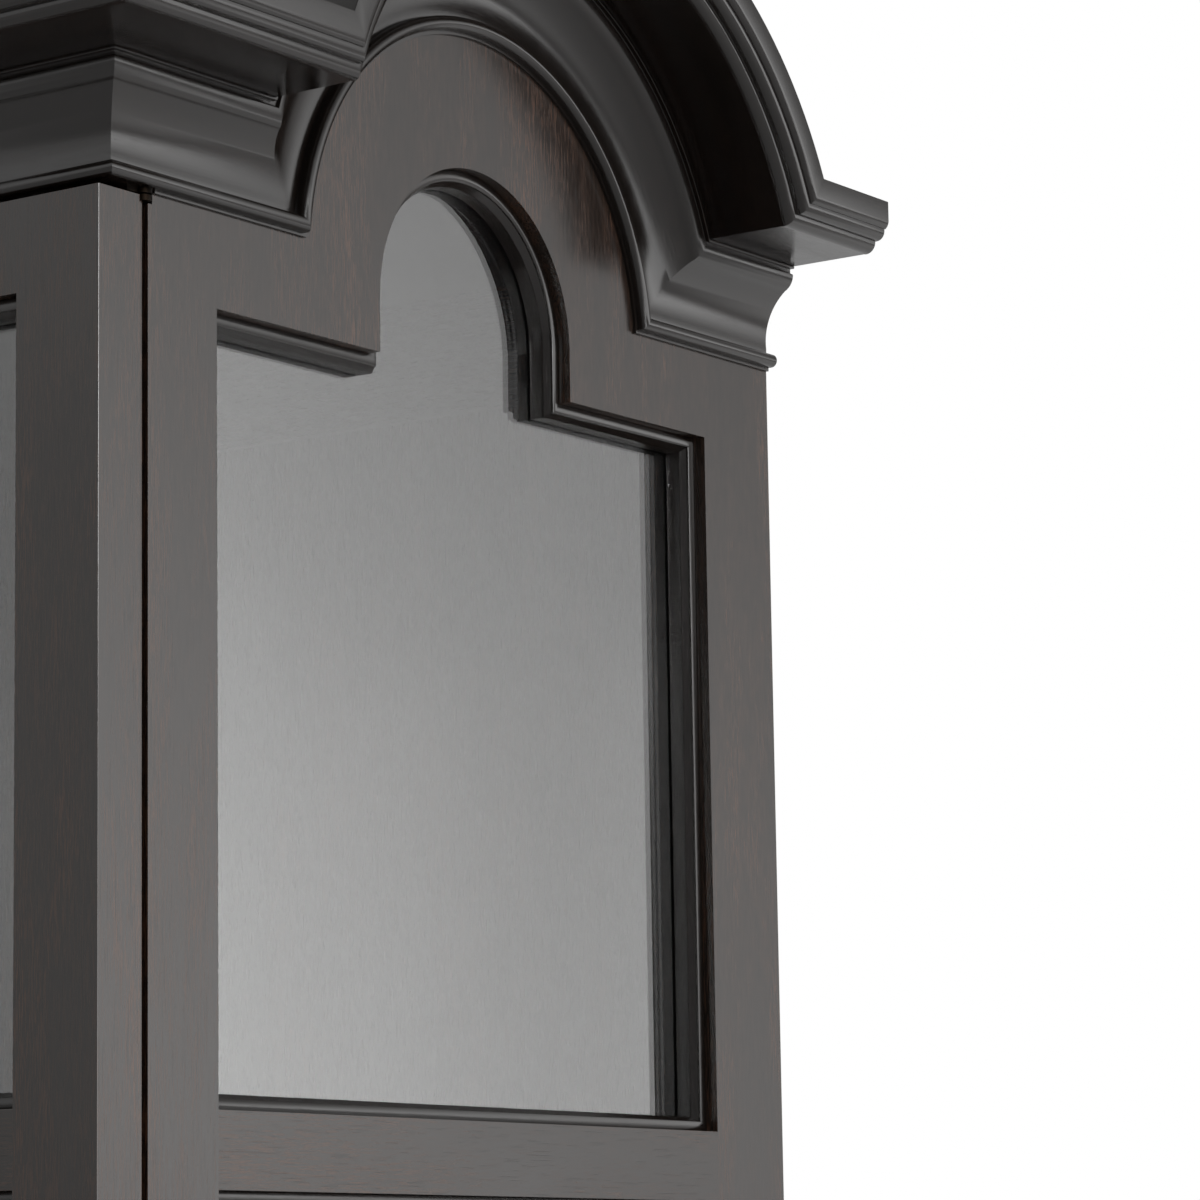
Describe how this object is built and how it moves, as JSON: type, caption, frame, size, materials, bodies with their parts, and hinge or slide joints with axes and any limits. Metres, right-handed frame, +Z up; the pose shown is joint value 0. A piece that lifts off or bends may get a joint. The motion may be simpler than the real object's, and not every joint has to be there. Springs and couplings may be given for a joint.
{
  "type": "armoire",
  "caption": "Dark wood armoire with glazed domed doors and sides, fielded lower panels, an arched cornice and shelves behind the doors.",
  "frame": {"origin": "centre of the bounding box on the floor", "axes": "+Z up, the doors face -Y, +X is the right side seen from the front"},
  "size_m": [1.384, 0.691, 2.2654],
  "materials": {
    "dark_wood": "espresso stain under satin lacquer, faint red-brown grain",
    "moulding_wood": "near-black espresso stain under satin-gloss lacquer",
    "pane_glass": "clear polished glass",
    "aged_brass": "dark aged brass, brushed",
    "bolt_steel": "brushed steel",
    "glide_plastic": "matte black nylon"
  },
  "bodies": {
    "carcass": {"astragal": "moulding_wood", "back_panels": "dark_wood", "back_rails": "dark_wood", "back_stiles": "dark_wood", "base_moulding": "moulding_wood", "bottom_board": "dark_wood", "case_hinge_leaves": "aged_brass", "centre_mullion": "dark_wood", "cove_front": "moulding_wood", "cove_sides": "moulding_wood", "crown_front": "moulding_wood", "crown_left": "moulding_wood", "crown_right": "moulding_wood", "front_frieze": "dark_wood", "front_head": "dark_wood", "glides": "glide_plastic", "hoods": "dark_wood", "plinth": "dark_wood", "roof_board": "dark_wood", "shelf_pins": "aged_brass", "shelves": "dark_wood", "side_glazing_mouldings": "moulding_wood", "side_left_arched_head": "dark_wood", "side_left_bottom_rail": "dark_wood", "side_left_front_stile": "dark_wood", "side_left_rear_stile": "dark_wood", "side_lower_panels": "dark_wood", "side_mid_rails": "dark_wood", "side_pane_beads": "moulding_wood", "side_panes": "pane_glass", "side_right_arched_head": "dark_wood", "side_right_bottom_rail": "dark_wood", "side_right_front_stile": "dark_wood", "side_right_rear_stile": "dark_wood"},
    "door_right": {"door_right_arched_head": "dark_wood", "door_right_bottom_rail": "dark_wood", "door_right_glazing_mouldings": "moulding_wood", "door_right_hinge_leaves": "aged_brass", "door_right_hinge_stile": "dark_wood", "door_right_knob": "aged_brass", "door_right_lower_panel": "dark_wood", "door_right_meeting_stile": "dark_wood", "door_right_mid_rails": "dark_wood", "door_right_pane_beads": "moulding_wood", "door_right_panes": "pane_glass", "lock_case": "aged_brass"},
    "door_left": {"door_left_arched_head": "dark_wood", "door_left_bottom_rail": "dark_wood", "door_left_glazing_mouldings": "moulding_wood", "door_left_hinge_leaves": "aged_brass", "door_left_hinge_stile": "dark_wood", "door_left_knob": "aged_brass", "door_left_lower_panel": "dark_wood", "door_left_meeting_stile": "dark_wood", "door_left_mid_rails": "dark_wood", "door_left_pane_beads": "moulding_wood", "door_left_panes": "pane_glass"},
    "lock_bolt_body": {"lock_bolt": "bolt_steel"},
    "lock_key_body": {"lock_key": "aged_brass"},
    "flush_bolt_body": {"flush_bolt": "bolt_steel"}
  },
  "joints": [
    {"name": "door_right_hinge", "type": "hinge", "parent": "carcass", "child": "door_right", "pos_m": [0.6005, -0.22875, 1], "axis": [0, 0, 1], "range_deg": [0, 110]},
    {"name": "door_left_hinge", "type": "hinge", "parent": "carcass", "child": "door_left", "pos_m": [-0.6005, -0.22875, 1], "axis": [0, 0, -1], "range_deg": [0, 110]},
    {"name": "key_turn", "type": "hinge", "parent": "door_right", "child": "lock_key_body", "pos_m": [0.022, -0.2645, 1.026], "axis": [0, 1, 0], "range_deg": [0, 90.2]},
    {"name": "lock_bolt_slide", "type": "slide", "parent": "door_right", "child": "lock_bolt_body", "axis": [-1, 0, 0], "range_m": [0, 0.008]},
    {"name": "flush_bolt_slide", "type": "slide", "parent": "door_left", "child": "flush_bolt_body", "axis": [0, 0, 1], "range_m": [0, 0.012]}
  ],
  "couplings": [
    {"joint": "key_turn", "follows": "lock_bolt_slide", "rad_per_m": 196.35}
  ]
}
